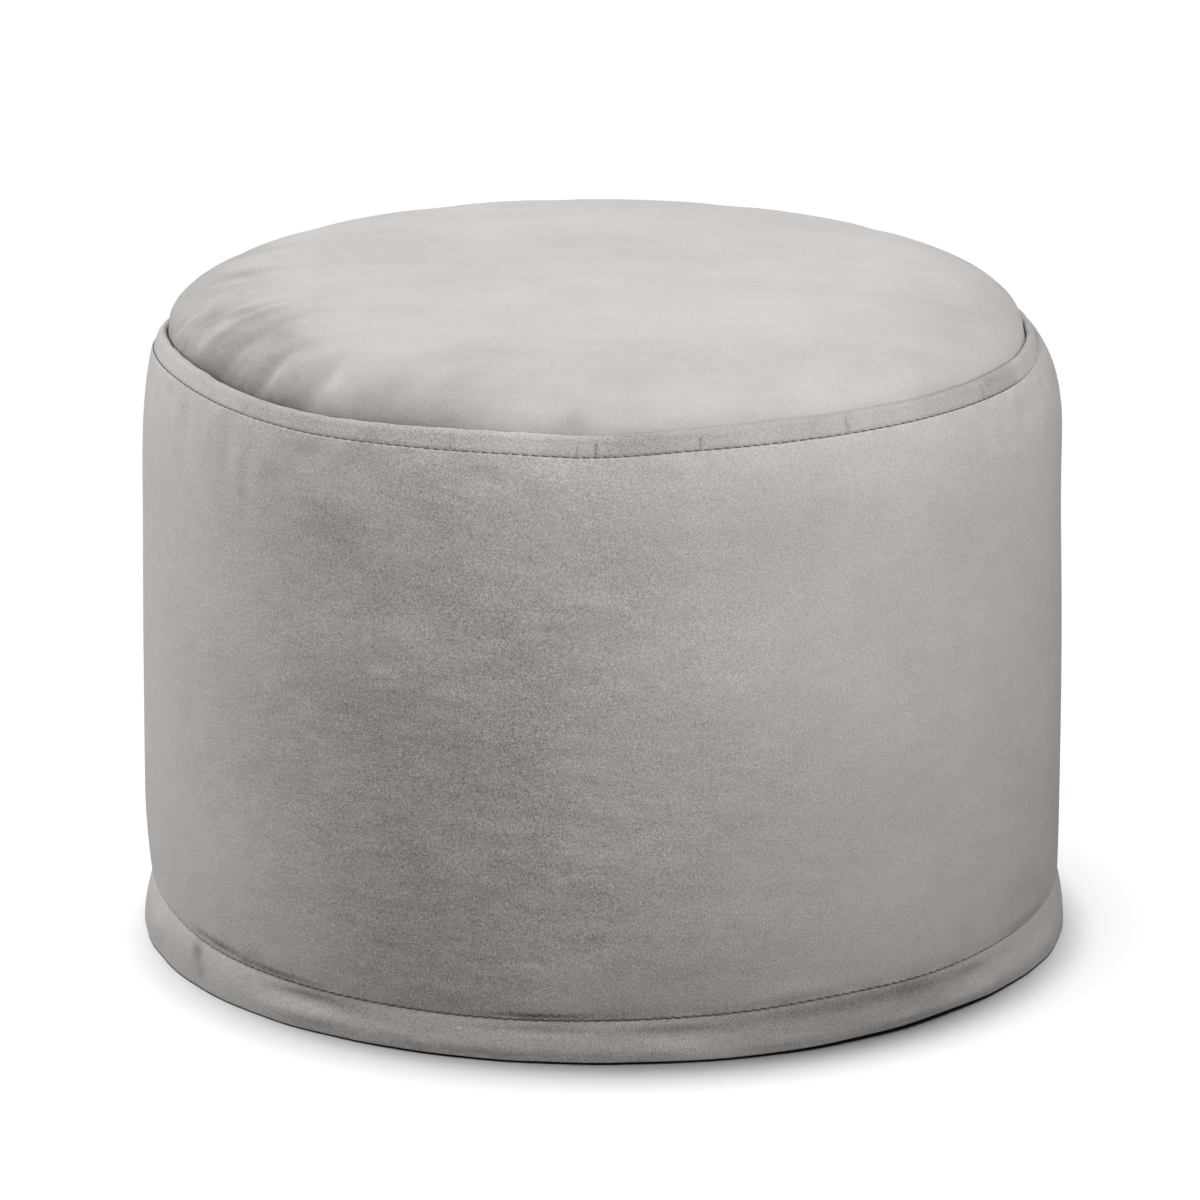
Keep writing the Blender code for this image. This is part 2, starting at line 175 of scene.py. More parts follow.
def periodic(knots, values, bearing):
    """A smooth closed curve through the values: cubic pieces whose slopes are those of the chords
    between each knot's two neighbours."""
    knots = np.concatenate([knots[-2:] - 360, knots, knots[:3] + 360])
    values = np.concatenate([values[-2:], values, values[:3]])
    slopes = (values[2:] - values[:-2]) / (knots[2:] - knots[:-2])
    at = np.clip(np.searchsorted(knots, bearing, side="right") - 1, 1, len(knots) - 3)
    step = knots[at + 1] - knots[at]
    t = (bearing - knots[at]) / step
    return (
        values[at] * (1 + 2 * t) * (1 - t) ** 2
        + slopes[at - 1] * step * t * (1 - t) ** 2
        + values[at + 1] * t**2 * (3 - 2 * t)
        - slopes[at] * step * t**2 * (1 - t)
    )


def column(rim, name, bearing):
    return periodic(rim["bearing"], rim[name], bearing)


def turn(bearing, other):
    """The angle from one bearing to another, from -180 to 180 degrees."""
    return (bearing - other + 180) % 360 - 180


def arc(bearing, other):
    """The way round the drum from one bearing to another, in metres."""
    return np.radians(turn(bearing, other)) * WALL_RADIUS


# %% [markdown]
# ## Grids that close
#
# Every piece is a grid: its columns go once round the drum, and its rows follow the cut through the
# cloth. A sewn edge has several columns for each stitch, so that the cloth can pucker between the
# needle holes. The first and last row either close on a point or, on a flange, meet each other.

# %% Grid helpers
STITCHES = 292  # nearly 5 mm each, as a heavy cloth is topstitched


def bearings(each_stitch):
    """Bearings once round the drum, with so many columns for each stitch."""
    count = each_stitch * STITCHES
    return np.arange(count) * 360 / count - 180


def stitch_count(bearing):
    """How many stitches lie between the back and a bearing; the needle holes are at whole numbers."""
    return (np.asarray(bearing) + 180) / 360 * STITCHES


def to_points(radius, height, bearing):
    """Radius, height and bearing as x, y, z."""
    angle = np.radians(bearing)
    radius, height, angle = np.broadcast_arrays(radius, height, angle)
    return np.stack([radius * np.sin(angle), -radius * np.cos(angle), height], axis=-1)


def grid_object(name, make_rows, each_stitch, ends):
    """A closed mesh with so many columns for each stitch. make_rows works out its rows, each a radius
    and a height for every bearing, and how much painted shade each point has in its tucks, grooves,
    folds and seams (1 in the deepest tuck), which the mesh keeps as an attribute. With ends "points",
    the first and last row each close on their own middle; with "ring", the last row is joined to the
    first."""
    bearing = bearings(each_stitch)
    rows, painted_shade = make_rows(bearing)
    points = np.array([to_points(radius, height, bearing) for radius, height in rows])
    count, across = points.shape[:2]
    index = np.arange(count * across).reshape(count, across)
    if ends == "ring":
        index = np.vstack([index, index[:1]])
    beside = np.roll(index, -1, axis=1)
    quads = np.stack([index[:-1], index[1:], beside[1:], beside[:-1]], axis=-1).reshape(-1, 4)
    places = points.reshape(-1, 3)
    faces = quads.tolist()
    if ends == "points":
        places = np.vstack([places, points[0].mean(axis=0), points[-1].mean(axis=0)])
        first, last = len(places) - 2, len(places) - 1
        faces += [[a, b, first] for a, b in zip(index[0].tolist(), beside[0].tolist())]
        faces += [[b, a, last] for a, b in zip(index[-1].tolist(), beside[-1].tolist())]
    mesh = bpy.data.meshes.new(name)
    mesh.from_pydata(places.tolist(), [], faces)
    a, b, c = places[quads[:, 0]], places[quads[:, 1]], places[quads[:, 2]]
    d = places[quads[:, 3]]
    volume = (a * np.cross(b, c)).sum() + (a * np.cross(c, d)).sum()
    if volume < 0:
        mesh.flip_normals()
    # Each point's painted shade, kept as an attribute that darkens the velvet's colour.
    values = np.zeros(len(places), dtype=np.float32)
    values[: count * across] = np.ravel(painted_shade)
    mesh.attributes.new("painted_shade", "FLOAT", "POINT").data.foreach_set("value", values)
    mesh.shade_smooth()
    print(f"{name}: {sum(len(face) - 2 for face in faces)} triangles")
    return placed(name, mesh)


# %% [markdown]
# ## Small waves
#
# Sewn cloth is never quite even. A few waves with seeded phases, added up, give an unevenness that
# closes round the drum and is the same at each run. Bell shapes at chosen places give the single
# dents, tucks and folds that can be seen in the picture.

# %% Waves and bells
WAVES = 8  # added up in each ripple
# The ripples: fewest and most waves a turn, and the seed.
RIPPLES = {
    "crest": (20, 90, 3),
    "band": (15, 60, 4),
    "skirt": (9, 45, 5),
    "side": (22, 70, 7),
    "puckers": (60, 170, 8),
    "rim": (40, 110, 11),
}


def ripple(which, bearing):
    """Cosine waves round the drum with seeded counts and phases, added up; about 1 at its highest."""
    slowest, fastest, seed = RIPPLES[which]
    chance = np.random.default_rng(seed)
    waves = chance.integers(slowest, fastest + 1, WAVES)
    phases = chance.uniform(0, 2 * np.pi, WAVES)
    angle = np.radians(np.asarray(bearing))[..., None]
    return np.cos(angle * waves + phases).sum(axis=-1) * 2 / WAVES


def fading(distance, reach):
    """A bell shape: 1 at the distance 0, and a third of that at the reach."""
    return np.exp(-((distance / reach) ** 2))


def bells(places, bearing, height):
    """How far a table of dents sets a surface in: round bell shapes, wide and tall as the table
    says."""
    total = np.zeros(np.broadcast(bearing, height).shape)
    for middle, level, wide, tall, depth in zip(*places.values()):
        total += depth * fading(arc(bearing, middle), wide) * fading(height - level, tall)
    return total


NEEDLE_PULL = 0.0003
BETWEEN_HOLES = 0.3  # the share of the pull that the thread has between two needle holes


def needle(reach, away, bearing):
    """How deep the thread pulls the cloth in: deepest at the needle holes, and fading over reach as
    the distance away from the stitching grows."""
    hole = BETWEEN_HOLES + (1 - BETWEEN_HOLES) * np.cos(np.pi * stitch_count(bearing)) ** 4
    return NEEDLE_PULL * hole * fading(away, reach)


# %% [markdown]
# ## The two flanges
#
# A flange is four layers of velvet pressed flat by one line of stitching. A line up its middle gives
# its place, and its cut goes round that line: up one face, over the fold, down the other face. The
# stitching sets it in, so that each face swells a little between the stitches and the fold.

# %% Middle lines of the flanges
def top_middle(bearing, height):
    """Radius of the middle of the top flange: upright below the stitching, leaning in above it."""
    up = np.clip((height - column(TOP_RIM, "seam_z", bearing)) / column(TOP_RIM, "rise", bearing), 0, 1)
    return column(TOP_RIM, "seam_r", bearing) - HALF - column(TOP_RIM, "lean", bearing) * up


def lower_middle(bearing, height):
    """Radius of the middle of the lower flange: upright above the stitching; below it the flange
    swings out and then hangs ever straighter down to its edge."""
    seam_r = column(LOWER_RIM, "seam_r", bearing)
    seam_z = column(LOWER_RIM, "seam_z", bearing)
    flare = column(LOWER_RIM, "edge_r", bearing) - seam_r
    fall = seam_z - column(LOWER_RIM, "lift", bearing) - HALF
    down = np.clip((seam_z - height) / fall, 0, 1)
    return seam_r - HALF + flare * (1 - (1 - down) ** FLARE_BULGE)


# %% Top flange
# Tucks that cross the band where the sewer eased the cloth in; reach is how far up the band one goes,
# as a share of it. Here and in all the tables wide and tall are half sizes.
TUCKS = table(
    "bearing wide depth reach",
    (-152,   0.8,  0.6,   0.7),
    (-118,   0.7,  0.5,   0.8),
    (-84,    0.8,  0.5,   0.6),
    (-49.5,  0.6,  0.4,   0.9),
    (-31,    0.8,  0.3,   0.5),
    (-18.7,  0.6,  0.6,   0.9),
    (-9.6,   0.9,  0.3,   0.6),
    (-3.2,   0.7,  0.5,   0.8),
    (-0.8,   0.6,  1.0,   0.9),
    (11.9,   0.6,  0.8,   0.9),
    (15.5,   0.7,  0.4,   0.7),
    (31.5,   0.7,  0.9,   0.9),
    (56,     0.6,  0.6,   0.8),
    (96,     0.7,  0.6,   0.7),
    (139,    0.8,  0.6,   0.8),
    (171,    0.7,  0.5,   0.7),
)
DEEPEST_TUCK = 0.0010
TUCK_STARTS = 8.0  # how sharply a tuck starts at the stitching: in an eighth of the band
TUCK_ENDS = 6.0  # and how sharply it fades out
SEAM_PINCH = 0.0005  # how far the stitching sets the flange's face in
LOOSEST = 0.45  # how tight the thread is at the back, beside 1 at the front
PILLOW = 0.0008  # how far the band swells above its stitching
FOLD_ROWS = 13
FACE_ROWS = 16
UNDER_SEAM = -0.08  # one more row, hidden under the stitching, as a share of the face
CREST_WAVE = 0.00015
BAND_SWAY = 0.00025
FULL_GROOVE = 0.004  # the swell of the side at which the groove beside it gets its full painted shade
GROOVE_REACH = 0.0014
TOP_PINCH_REACH = 0.0012
TOP_HOLE_REACH = 0.0010


def groove(bearing, away):
    """How much painted shade lies on the pile between the side and the flange, where the side swells up
    beside it: away is the distance from the side's edge."""
    return np.clip(column(TOP_RIM, "swell", bearing) / FULL_GROOVE, 0, 1) * fading(away, GROOVE_REACH)


def tightness(bearing):
    """How tight the stitching is pulled, and so how plainly it shows: most at the front."""
    return LOOSEST + (1 - LOOSEST) * np.clip(np.cos(np.radians(bearing)), 0, 1)


def tucked(bearing, share):
    """How deep the tucks are at a bearing and a share of the band's width: a narrow bell across each
    one, fading where it ends."""
    total = np.zeros_like(bearing, dtype=float)
    for middle, wide, depth, reach in zip(*TUCKS.values()):
        total += depth * fading(arc(bearing, middle), wide) * np.clip((reach - share) * TUCK_ENDS, 0, 1)
    return total * np.clip(TUCK_STARTS * share, 0, 1)


def top_flange_rows(bearing):
    """Up the outer face, half a turn over the fold, down the inner face; and how much painted shade each
    point has, in the tucks and in the groove beside the side. The half turn leans as the faces do, so
    that it leaves them without a corner."""
    seam_z = column(TOP_RIM, "seam_z", bearing)
    fold_z = seam_z + column(TOP_RIM, "rise", bearing) - HALF + CREST_WAVE * ripple("crest", bearing)
    low = TOP_SEAT + GAP
    sway = BAND_SWAY * ripple("band", bearing)
    rows = [(top_middle(bearing, low) + HALF, low, 0)]
    for share in [UNDER_SEAM, *np.linspace(0, 1, FACE_ROWS)]:
        height = seam_z + (fold_z - seam_z) * share
        away = height - seam_z
        radius = top_middle(bearing, height) + HALF + sway * max(share, 0)
        pinch = SEAM_PINCH * fading(away, TOP_PINCH_REACH) + needle(TOP_HOLE_REACH, away, bearing)
        radius -= pinch * tightness(bearing)
        radius += PILLOW * max(share, 0) * (1 - share) ** 2
        tuck = tucked(bearing, share)
        # Painted shade: the tuck's depth beside the deepest tuck's, plus the painted shade of the
        # groove.
        hidden = groove(bearing, away - column(TOP_RIM, "swell", bearing))
        rows.append((radius - tuck, height, tuck / DEEPEST_TUCK + hidden))
    crest_r = top_middle(bearing, fold_z) + sway
    leaning = column(TOP_RIM, "lean", bearing) / column(TOP_RIM, "rise", bearing)
    for angle in np.linspace(0, np.pi, FOLD_ROWS)[1:]:
        radius = crest_r + HALF * (np.cos(angle) - leaning * np.sin(angle))
        rows.append((radius, fold_z + HALF * np.sin(angle), 0))
    rows.append((top_middle(bearing, seam_z) - HALF, seam_z, 0))
    rows.append((top_middle(bearing, low) - HALF, low, 0))
    painted_shade = [np.broadcast_to(row[2], bearing.shape) for row in rows]
    return [row[:2] for row in rows], painted_shade


top_flange = grid_object("top_flange_band", top_flange_rows, 6, "ring")

# %% Bottom flange
# Dents of the lower band; a negative depth is a swell.
BAND_DENTS = table(
    "bearing height  wide tall depth",
    (-160,      12, 20.0, 7.0,   1.2),
    (-123,      11,  9.0, 8.0,   1.4),
    (-96,        8, 15.0, 6.0,  -0.6),
    (-74,       13, 12.0, 7.0,  -0.8),
    (-59.5,     13,  4.2, 8.0,   1.0),
    (-53,       11,  7.0, 7.0,  -0.3),
    (-39,       15, 18.0, 4.2,   2.2),
    (-39,        7, 24.0, 3.5,  -0.8),
    (-14,        6, 40.0, 3.5,  -1.0),
    (-10,       15, 30.0, 3.0,   1.0),
    (9,         13, 24.0, 4.5,   1.6),
    (22,         6, 20.0, 3.5,  -0.8),
    (40,         6, 16.0, 3.5,  -1.0),
    (52,        12, 12.0, 6.0,   2.2),
    (71,         8, 10.0, 6.0,  -0.8),
    (112,       11, 14.0, 7.0,   1.2),
    (150,        8, 20.0, 6.0,  -0.8),
)
# Painted shade on the lower band, beside the deepest tuck, and with a negative number painted light:
# under the roll of the side, in smudges and along the floor.
BAND_PAINTED_SHADES = table(
    "bearing height   wide  tall  dark",
    (-66,      8.0,  80.0, 11.0,   0.9),
    (-60.6,   16.5,   4.5,  4.5,   1.3),
    (-58.8,    9.0,   4.0,  5.0,   1.3),
    (-36,     17.0,  26.0,  3.0,   1.2),
    (-28,     10.0,  26.0,  3.5,  -0.9),
    (-17,     17.0,  26.0,  4.0,  -1.3),
    (2,        3.0,  30.0,  3.0,   0.9),
    (36,      18.5, 120.0,  5.0,   2.0),
    (38,       9.0, 110.0,  4.0,   0.9),
    (48,       3.0,  90.0,  3.0,   1.8),
)
PRESSED = 0.3  # how round the fold is at the floor: 1 is a half circle, and less is squarer
SKIRT_SWAY = 0.0004
OVER_SEAM = -0.05  # one more row, hidden over the stitching, as a share of the face
LOWER_PINCH_REACH = 0.0014
LOWER_HOLE_REACH = 0.0012


def bottom_flange_rows(bearing):
    """Down the outer face, half a turn under the fold, up the inner face; and how much painted shade, or
    below zero painted light, each point has. The half turn is a superellipse, because the weight presses
    the fold on the floor."""
    seam_z = column(LOWER_RIM, "seam_z", bearing)
    fold_z = np.maximum(column(LOWER_RIM, "lift", bearing), 0) + HALF
    high = BASE_SEAT - GAP
    sway = SKIRT_SWAY * ripple("skirt", bearing)

    def face(height, share):
        """Radius of the outer face: the middle line, set in at the stitches, with its dents."""
        away = seam_z - height
        radius = lower_middle(bearing, height) + HALF + sway * share
        radius -= SEAM_PINCH * fading(away, LOWER_PINCH_REACH)
        radius -= needle(LOWER_HOLE_REACH, away, bearing)
        return radius - bells(BAND_DENTS, bearing, height) * np.clip(3 * share, 0, 1)

    rows = [(lower_middle(bearing, high) + HALF - GAP, high)]
    for share in [OVER_SEAM, *np.linspace(0, 1, FACE_ROWS + 2)]:
        height = seam_z + (fold_z - seam_z) * share
        rows.append((face(height, max(share, 0)), height))
    fold_r = face(fold_z, 1) - HALF
    for angle in np.linspace(0, -np.pi, FOLD_ROWS)[1:]:
        out, down = (np.sign(way) * abs(way) ** PRESSED for way in (np.cos(angle), np.sin(angle)))
        rows.append((fold_r + HALF * out, fold_z + HALF * down))
    for share in (0.8, 0.6, 0.4, 0.2, 0.0):
        height = seam_z + (fold_z - seam_z) * share
        rows.append((face(height, share) - 2 * HALF, height))
    rows.append((lower_middle(bearing, high) - HALF, high))
    # The band's painted shade and painted light, from the table.
    return rows, [bells(BAND_PAINTED_SHADES, bearing, height) for _, height in rows]


bottom_flange = grid_object("bottom_flange_band", bottom_flange_rows, 4, "ring")

# %% [markdown]
# ## The side
#
# The side is one strip, filled out by the beads. Its cut is nearly upright, drawn in over some
# centimetres towards each seam, and it rolls over sharply where it meets the stitching. The thread
# pulls the rolled edge down at each needle hole, and the cloth bulges between them.

# %% Side
ROLL = 0.0007  # radius of the roll at each seam
SCALLOP = 0.0005  # how far the rolled edge rises between two needle holes
SCALLOP_MIDDLE = 0.6  # the share of that which leaves the edge, on the whole, where it was
SIDE_DENTS = table(
    "bearing height wide tall depth",
    (-150,     130,  70,  60,   1.4),
    (-108,     200,  60,  50,  -0.8),
    (-90,      230,  55,  60,   0.8),
    (-66,      235,  45,  35,   0.8),
    (-52,       90,  60,  50,   1.2),
    (-30,      185,  50,  20,  -0.7),
    (-26,      130,  75,  45,   1.0),
    (-14,      255,  40,  18,   0.9),
    (6,        190,  60,  30,  -0.6),
    (24,        80,  70,  45,   0.9),
    (52,       230,  60,  40,   0.8),
    (78,       120,  70,  60,  -0.6),
    (90,       235,  60,  45,   1.0),
    (120,      210,  80,  50,   1.4),
    (165,      100,  60,  50,  -0.9),
)
# Folds close to the seams; height is above the lower stitching or, below zero, under the upper one.
SEAM_FOLDS = table(
    "bearing height wide  tall depth",
    (-133,       6,  20,  3.5,  -0.6),
    (-47,       11,  22,  4.5,  -0.4),
    (-16,       10,  22,  4.0,  -0.5),
    (22,         6,  26,  4.0,  -0.6),
    (66,         6,  20,  4.0,  -0.8),
    (128,        6,  22,  3.5,   0.8),
    (-79,      -12,   6,  8.0,   0.5),
    (-69,       -8,   5,  4.0,   0.6),
    (-66,      -20,   4, 12.0,  -0.3),
    (-62,      -14,   5,  8.0,   0.6),
    (-57,      -16,   5, 12.0,  -0.5),
    (-52,      -20,   5, 12.0,   0.5),
    (-48,      -34,   4, 24.0,   0.4),
    (-45,      -18,   6, 10.0,  -0.6),
    (-38,      -10,   8,  5.0,   1.0),
    (-30,      -13,  12,  6.0,   0.8),
    (-22,       -8,   7,  4.0,  -0.8),
    (-14,      -11,   9,  5.0,   0.9),
    (-6,       -11,   9,  4.5,  -1.0),
    (5,        -10,  14,  6.0,   0.8),
    (20,       -11,   9,  5.0,  -0.6),
    (33,       -12,  18,  6.0,   0.6),
    (66,       -13,  10,  6.0,   1.0),
    (72,       -20,  12,  7.0,  -0.8),
    (84,       -16,  16,  7.0,   1.2),
    (150,      -12,  18,  6.0,   0.8),
)
# Painted shade where the side folds in over its lower seam and the pile there lies in shadow.
FOLD_PAINTED_SHADES = table(
    "bearing height wide tall dark",
    (-133,     3.0,  20, 2.2,  1.0),
    (-55,      4.2,  22, 1.8,  2.7),
    (-44,      2.5,  24, 1.4,  2.7),
    (-8,       2.4,  22, 1.2,  3.0),
    (2,        4.0,  26, 4.0,  0.8),
    (46,       4.0,  60, 4.0,  0.5),
    (128,      3.0,  22, 2.0,  1.0),
)
# The unevenness along the upper seam, its puckers, and the same along the lower seam: how high each is
# and how soon it fades away from the seam.
SIDE_RIPPLES = table(
    "high fade",
    (0.35, 18),
    (0.12,  7),
    (0.30, 14),
    (0.10,  6),
)
JOIN_BEARING = 180  # the strip's own closing seam, at the back
JOIN_DEPTH = 0.0005
JOIN_PAINTED_SHADE = 2.0  # painted shade in the closing seam's crease, beside the deepest tuck
JOIN_WIDTH = 0.0016
SEAM_HELD = 0.002  # this near its seams the side can't ripple
NEEDLE_REACH = 0.003
ROLL_ROWS = 7
NEAR_ROWS = 11  # beside the roll, from this distance on, each so much further off than the last
NEAREST = 0.0019
WIDENING = 1.30
SIDE_ROWS = 32


def rolled(distance):
    """How far a rolled edge lies inside the full shape at a distance from its end: what a quarter of
    a circle leaves."""
    t = np.clip(distance / ROLL, 0, 1)
    return ROLL * (1 - np.sqrt(1 - (1 - t) ** 2))


def side_rows(bearing):
    """From the middle of the hidden level top, over the upper edge, down the side and round the lower
    edge to the middle of the hidden level underside; and how much painted shade each point has, in the
    folds over the lower seam, the groove under the flange and the closing seam."""
    scallop = SCALLOP * (np.abs(np.sin(np.pi * stitch_count(bearing))) - SCALLOP_MIDDLE)
    upper_z = column(TOP_RIM, "seam_z", bearing)
    edge_z = upper_z + column(TOP_RIM, "swell", bearing) + scallop
    edge_r = top_middle(bearing, edge_z) + HALF + GAP
    seam_r = column(TOP_RIM, "seam_r", bearing) + GAP
    drop = column(TOP_RIM, "drop", bearing)
    foot_z = column(LOWER_RIM, "seam_z", bearing) - scallop
    foot_r = column(LOWER_RIM, "seam_r", bearing) + GAP
    uneven = ripple("side", bearing)
    puckers = ripple("puckers", bearing)
    # The lower seam has the same waves, some columns further round.
    ripples = (uneven, puckers, np.roll(uneven, 200), np.roll(puckers, 90))
    join = fading(arc(bearing, JOIN_BEARING), JOIN_WIDTH)

    def face(height):
        """Radius of the side at a height."""
        below = edge_z - height
        above = height - foot_z
        full = WALL_RADIUS + BELLY_SWELL * np.clip(1 - height / BELLY_HEIGHT, 0, 1)
        radius = full - (full - edge_r - ROLL) * (1 - np.clip(below / drop, 0, 1)) ** 3
        radius -= (full - foot_r - ROLL) * (1 - np.clip(above / NECK_HEIGHT, 0, 1)) ** 2
        radius -= rolled(below) + rolled(above)
        fade = 1 - fading(np.minimum(below, above), SEAM_HELD)
        radius -= bells(SIDE_DENTS, bearing, height)
        radius -= bells(SEAM_FOLDS, bearing, height - foot_z) * fade
        radius -= bells(SEAM_FOLDS, bearing, height - upper_z) * fade
        from_seam = (below, below, above, above)
        for waves, away, high, reach in zip(ripples, from_seam, *SIDE_RIPPLES.values()):
            radius += high * waves * fade * np.exp(-away / reach)
        radius -= needle(NEEDLE_REACH, below, bearing) + needle(NEEDLE_REACH, above, bearing)
        return radius - JOIN_DEPTH * join * fade

    rolling = ROLL * (1 - np.cos(np.linspace(0, np.pi / 2, ROLL_ROWS)))
    near = np.concatenate([rolling, NEAREST * WIDENING ** np.arange(NEAR_ROWS)])
    rows = [(seam_r, TOP_SEAT), (seam_r, np.minimum(upper_z, edge_z) - GAP * 2 / 3)]
    rows += [(face(edge_z - away), edge_z - away) for away in near]
    for share in np.linspace(0, 1, SIDE_ROWS)[1:-1]:
        height = (edge_z - near[-1]) * (1 - share) + (foot_z + near[-1]) * share
        rows.append((face(height), height))
    rows += [(face(foot_z + away), foot_z + away) for away in near[::-1]]
    rows.append((foot_r - GAP / 2, BASE_SEAT))
    # The side's painted shade: in the groove, the folds and the closing seam.
    painted_shade = []
    for _, height in rows:
        folds = bells(FOLD_PAINTED_SHADES, bearing, height - foot_z)
        painted_shade.append(groove(bearing, edge_z - height) + folds + JOIN_PAINTED_SHADE * join)
    return rows, painted_shade


side = grid_object("side_cover", side_rows, 4, "points")

# %% [markdown]
# ## The top
#
# The top is a disc that the beads push up into a low crown, almost flat in the middle and round at its
# shoulder. The disc is a little larger than the rim it is sewn to, so the cloth is gathered: soft
# troughs and ridges start at the seam and die out towards the middle. They are strongest on the left.

# %% Top
# Troughs (or, with a negative depth, ridges) of the top. middle is how far in from the seam one is
# deepest, measured over the cloth; near and far are how soon it fades towards the seam and inwards.
GATHERS = table(
    "bearing  wide depth middle near far",
    (-172,   14.0,  0.8,    22,  12,  40),
    (-151,   18.0,  0.9,    20,  12,  50),
    (-128,   13.0,  0.4,    22,  12,  40),
    (-112,    9.0,  0.4,    30,  16,  45),
    (-98,     9.0,  0.5,    36,  16,  24),
    (-92,     6.0, -0.7,    42,  16,  24),
    (-88,     6.0,  1.0,    34,  14,  22),
    (-83,     4.5, -1.2,    42,  14,  18),
    (-82,     2.2, -0.8,     9,   4,   6),
    (-78.5,   3.2,  1.4,    15,   6,  10),
    (-74,     7.5,  2.2,    28,  14,  32),
    (-66,     5.5, -2.0,    32,  20,  30),
    (-59,     8.0,  1.8,    22,  12,  22),
    (-54,     5.0, -0.7,    17,   7,  12),
    (-50,     6.0,  2.9,    21,  10,  14),
    (-45.8,   7.0, -0.6,    20,   8,  14),
    (-40.5,   8.0,  2.8,    25,  11,  16),
    (-34,     6.0, -0.6,    22,  10,  18),
    (-28,     9.0,  1.0,    22,  12,  20),
    (-8.4,    5.0, -0.8,     8,   5,  10),
    (-4.6,    6.5,  2.5,     9,   5,  12),
    (31,     10.0,  0.8,    10,   6,  16),
    (68,     14.0,  0.4,    18,  10,  35),
    (84,     12.0,  0.3,    22,  12,  40),
    (104,    16.0,  0.3,    20,  12,  45),
    (131,    14.0,  0.7,    20,  12,  40),
    (158,    16.0,  0.8,    20,  12,  45),
)
# Painted shade on the top where it sinks behind the flange, beside the deepest tuck, and how far inward
# from the seam it reaches.
RIM_PAINTED_SHADE = table(
    "bearing dark inward",
    (-180,   0.5,     10),
    (-120,   0.5,     10),
    (-90,    0.3,     10),
    (-72,    1.9,     14),
    (-55,    1.9,     14),
    (-40,    1.8,     12),
    (-25,    1.3,     10),
    (-8,     0.8,      7),
    (10,     0.5,      6),
    (40,     0.4,      6),
    (75,     0.0,      6),
    (110,    0.0,      8),
)
TOP_ROWS = 120
RIM_HELD = 0.003  # this near the seam the cloth can't move
RIM_RIPPLE = 0.00018  # the small ripples between the gathers, 14 mm in
RIPPLES_AT = 0.014
RIPPLES_REACH = 0.012
FEWEST_RIPPLES_AT = 70  # the bearing where the cloth was eased in most evenly
LEAST_RIPPLE = 0.2


def gathered(bearing, over):
    """How deep the gathers are, over being the way in from the seam: a bell shape across each one,
    times a bell shape along it that is steeper towards the seam."""
    total = np.zeros(np.broadcast(bearing, over).shape)
    for place, wide, depth, middle, near, far in zip(*GATHERS.values()):
        along = fading(over - middle, np.where(over < middle, near, far))
        total += depth * fading(arc(bearing, place), wide) * along
    return total


def top_rows(bearing):
    """From the middle of the hidden level underside, up beside the flange, in across the bottom of
    the crevice and over the crown. The gathers push the cloth in at right angles to the crown. And
    how much painted shade each point has behind the flange."""
    low = TOP_SEAT + GAP
    crest = column(TOP_RIM, "seam_z", bearing) + column(TOP_RIM, "rise", bearing)
    edge_z = crest - column(TOP_RIM, "crevice", bearing)
    share = 1 - np.linspace(0, 1, TOP_ROWS + 1)[:-1, None] ** 2
    crown = CROWN_HEIGHT - CROWN_TILT * share * np.sin(np.radians(bearing))
    fuller = (1 - share ** column(TOP_RIM, "fullness", bearing)) ** column(TOP_RIM, "shoulder", bearing)
    radius = (top_middle(bearing, crest) - HALF - GAP) * share
    height = edge_z + (crown - edge_z) * fuller
    step_r, step_z = np.gradient(radius, axis=0), np.gradient(height, axis=0)
    length = np.hypot(step_r, step_z)
    over = np.cumsum(length, axis=0) - length[0]
    facing = np.cos(np.radians(turn(bearing, FEWEST_RIPPLES_AT)))
    plenty = (1 + LEAST_RIPPLE - facing) / (2 + LEAST_RIPPLE)
    small = RIM_RIPPLE * plenty * ripple("rim", bearing)
    sink = gathered(bearing, over) - small * fading(over - RIPPLES_AT, RIPPLES_REACH)
    sink *= 1 - fading(over, RIM_HELD)
    radius -= sink * step_z / length
    height += sink * step_r / length
    edge_r = top_middle(bearing, edge_z) - HALF - GAP
    rows = [(top_middle(bearing, low) - HALF - GAP, low), (edge_r, edge_z), *zip(radius, height)]
    # Painted shade behind the flange, fading inward from the seam.
    dark = column(RIM_PAINTED_SHADE, "dark", bearing)
    shade = dark * fading(over, column(RIM_PAINTED_SHADE, "inward", bearing))
    return rows, np.vstack([[dark, dark], shade])


top = grid_object("top_cushion", top_rows, 2, "points")

# %% [markdown]
# ## The underside
#
# Nothing of the base shows, so it stays plain: a disc that lies flat where it carries the weight, and
# turns up to its seam inside the lower flange.

# %% Base
EDGE_ROWS = 12


def base_rows(bearing):
    """From the middle of the hidden level top, down inside the flange and round to the floor."""
    high = BASE_SEAT - GAP
    rim_r = lower_middle(bearing, high) - HALF - GAP
    rows = [(rim_r, high)]
    for angle in np.linspace(0, np.pi / 2, EDGE_ROWS):
        radius = BASE_FLAT_RADIUS + (rim_r - BASE_FLAT_RADIUS) * np.cos(angle)
        rows.append((radius, BASE_EDGE_ROUND * (1 - np.sin(angle))))
    return rows, np.zeros((len(rows), len(bearing)))


base = grid_object("base_cover", base_rows, 1, "points")

# %% [markdown]
# ## Stitches
#
# A topstitch is a short length of thread that comes out of one needle hole and goes into the next.
# Each one here is a thin closed tube that arches over the cloth and dips in at both ends. All of them
# are worked out at once, as one array: stitch, ring along it, side round it.

